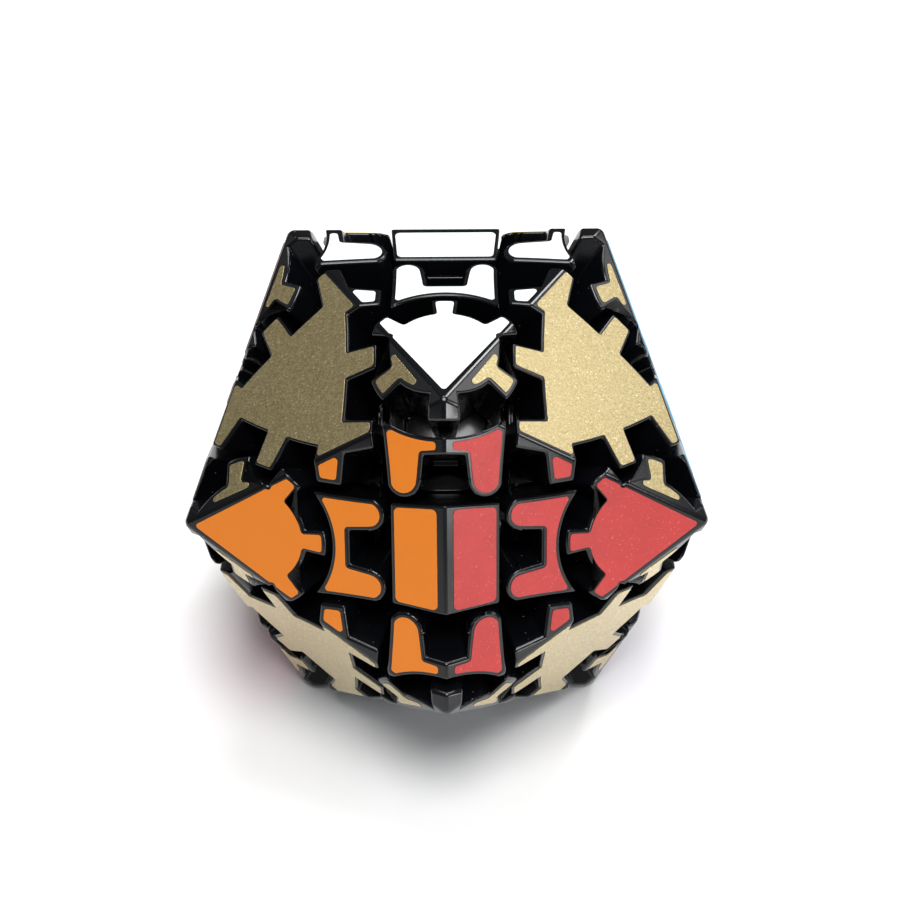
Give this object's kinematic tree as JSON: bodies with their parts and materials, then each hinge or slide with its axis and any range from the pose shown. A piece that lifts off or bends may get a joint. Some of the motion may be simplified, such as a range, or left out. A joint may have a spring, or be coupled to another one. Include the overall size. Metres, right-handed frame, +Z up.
{
  "type": "geared twisty puzzle",
  "caption": "Icosahedral twisty puzzle whose layers turn together through spinning star gears on its edges.",
  "frame": {"origin": "centre of the puzzle, where its three turning axes cross", "axes": "+Z up with the puzzle lying on one triangular face; +X to the right along one turning axis; the layer axis is +Z tipped 20.9 degrees towards +Y, and the ridge nearest the viewer faces -Y and slightly up"},
  "size_m": [0.08, 0.0924, 0.075],
  "materials": {
    "black_plastic": "semi-gloss moulded",
    "sticker_film": "satin vinyl film, one colour per face",
    "steel": "plain"
  },
  "bodies": {
    "bottom_layer": {"centre_base_bottom": "black_plastic", "centre_cap_bottom": "black_plastic", "corner_bottom_back_left": "black_plastic", "corner_bottom_back_right": "black_plastic", "corner_bottom_front_left": "black_plastic", "corner_bottom_front_right": "black_plastic", "edge_base_bottom_back": "black_plastic", "edge_base_bottom_front": "black_plastic", "edge_base_bottom_left": "black_plastic", "edge_base_bottom_right": "black_plastic", "edge_gear_bottom_back": "black_plastic", "edge_gear_bottom_front": "black_plastic", "edge_gear_bottom_left": "black_plastic", "edge_gear_bottom_right": "black_plastic", "gear_pins_bottom": "steel", "spring_bottom": "steel", "stickers_bottom": "sticker_film", "stickers_rest_face": "sticker_film"},
    "middle_slice": {"centre_base_back": "black_plastic", "centre_base_front": "black_plastic", "centre_base_left": "black_plastic", "centre_base_right": "black_plastic", "centre_cap_back": "black_plastic", "centre_cap_front": "black_plastic", "centre_cap_left": "black_plastic", "centre_cap_right": "black_plastic", "centre_screws": "steel", "core": "black_plastic", "edge_base_back_left": "black_plastic", "edge_base_back_right": "black_plastic", "edge_base_front_left": "black_plastic", "edge_base_front_right": "black_plastic", "gear_pins_middle": "steel", "spring_middle": "steel", "stickers_middle": "sticker_film"},
    "top_layer": {"centre_base_top": "black_plastic", "centre_cap_top": "black_plastic", "corner_top_back_left": "black_plastic", "corner_top_back_right": "black_plastic", "corner_top_front_left": "black_plastic", "corner_top_front_right": "black_plastic", "edge_base_top_back": "black_plastic", "edge_base_top_front": "black_plastic", "edge_base_top_left": "black_plastic", "edge_base_top_right": "black_plastic", "edge_gear_top_back": "black_plastic", "edge_gear_top_front": "black_plastic", "edge_gear_top_left": "black_plastic", "edge_gear_top_right": "black_plastic", "gear_pins_top": "steel", "spring_top": "steel", "stickers_top": "sticker_film"},
    "gear_front_left": {"edge_gear_front_left": "black_plastic", "stickers_gear_front_left": "sticker_film"},
    "gear_front_right": {"edge_gear_front_right": "black_plastic", "stickers_gear_front_right": "sticker_film"},
    "gear_back_left": {"edge_gear_back_left": "black_plastic", "stickers_gear_back_left": "sticker_film"},
    "gear_back_right": {"edge_gear_back_right": "black_plastic", "stickers_gear_back_right": "sticker_film"}
  },
  "joints": [
    {"name": "slice_turn", "type": "hinge", "parent": "bottom_layer", "child": "middle_slice", "pos_m": [0, 0, 0], "axis": [0, 0.3568, 0.9342], "continuous": true},
    {"name": "top_turn", "type": "hinge", "parent": "middle_slice", "child": "top_layer", "pos_m": [0, 0, 0], "axis": [0, 0.3568, 0.9342], "continuous": true},
    {"name": "gear_spin_front_left", "type": "hinge", "parent": "middle_slice", "child": "gear_front_left", "pos_m": [0, 0, 0], "axis": [-0.7071, -0.6606, 0.2523], "continuous": true},
    {"name": "gear_spin_front_right", "type": "hinge", "parent": "middle_slice", "child": "gear_front_right", "pos_m": [0, 0, 0], "axis": [0.7071, -0.6606, 0.2523], "continuous": true},
    {"name": "gear_spin_back_left", "type": "hinge", "parent": "middle_slice", "child": "gear_back_left", "pos_m": [0, 0, 0], "axis": [-0.7071, 0.6606, -0.2523], "continuous": true},
    {"name": "gear_spin_back_right", "type": "hinge", "parent": "middle_slice", "child": "gear_back_right", "pos_m": [0, 0, 0], "axis": [0.7071, 0.6606, -0.2523], "continuous": true}
  ],
  "couplings": [
    {"joint": "top_turn", "follows": "slice_turn", "ratio": 1},
    {"joint": "gear_spin_front_left", "follows": "slice_turn", "ratio": -3.3333},
    {"joint": "gear_spin_front_right", "follows": "slice_turn", "ratio": -3.3333},
    {"joint": "gear_spin_back_left", "follows": "slice_turn", "ratio": -3.3333},
    {"joint": "gear_spin_back_right", "follows": "slice_turn", "ratio": -3.3333}
  ]
}
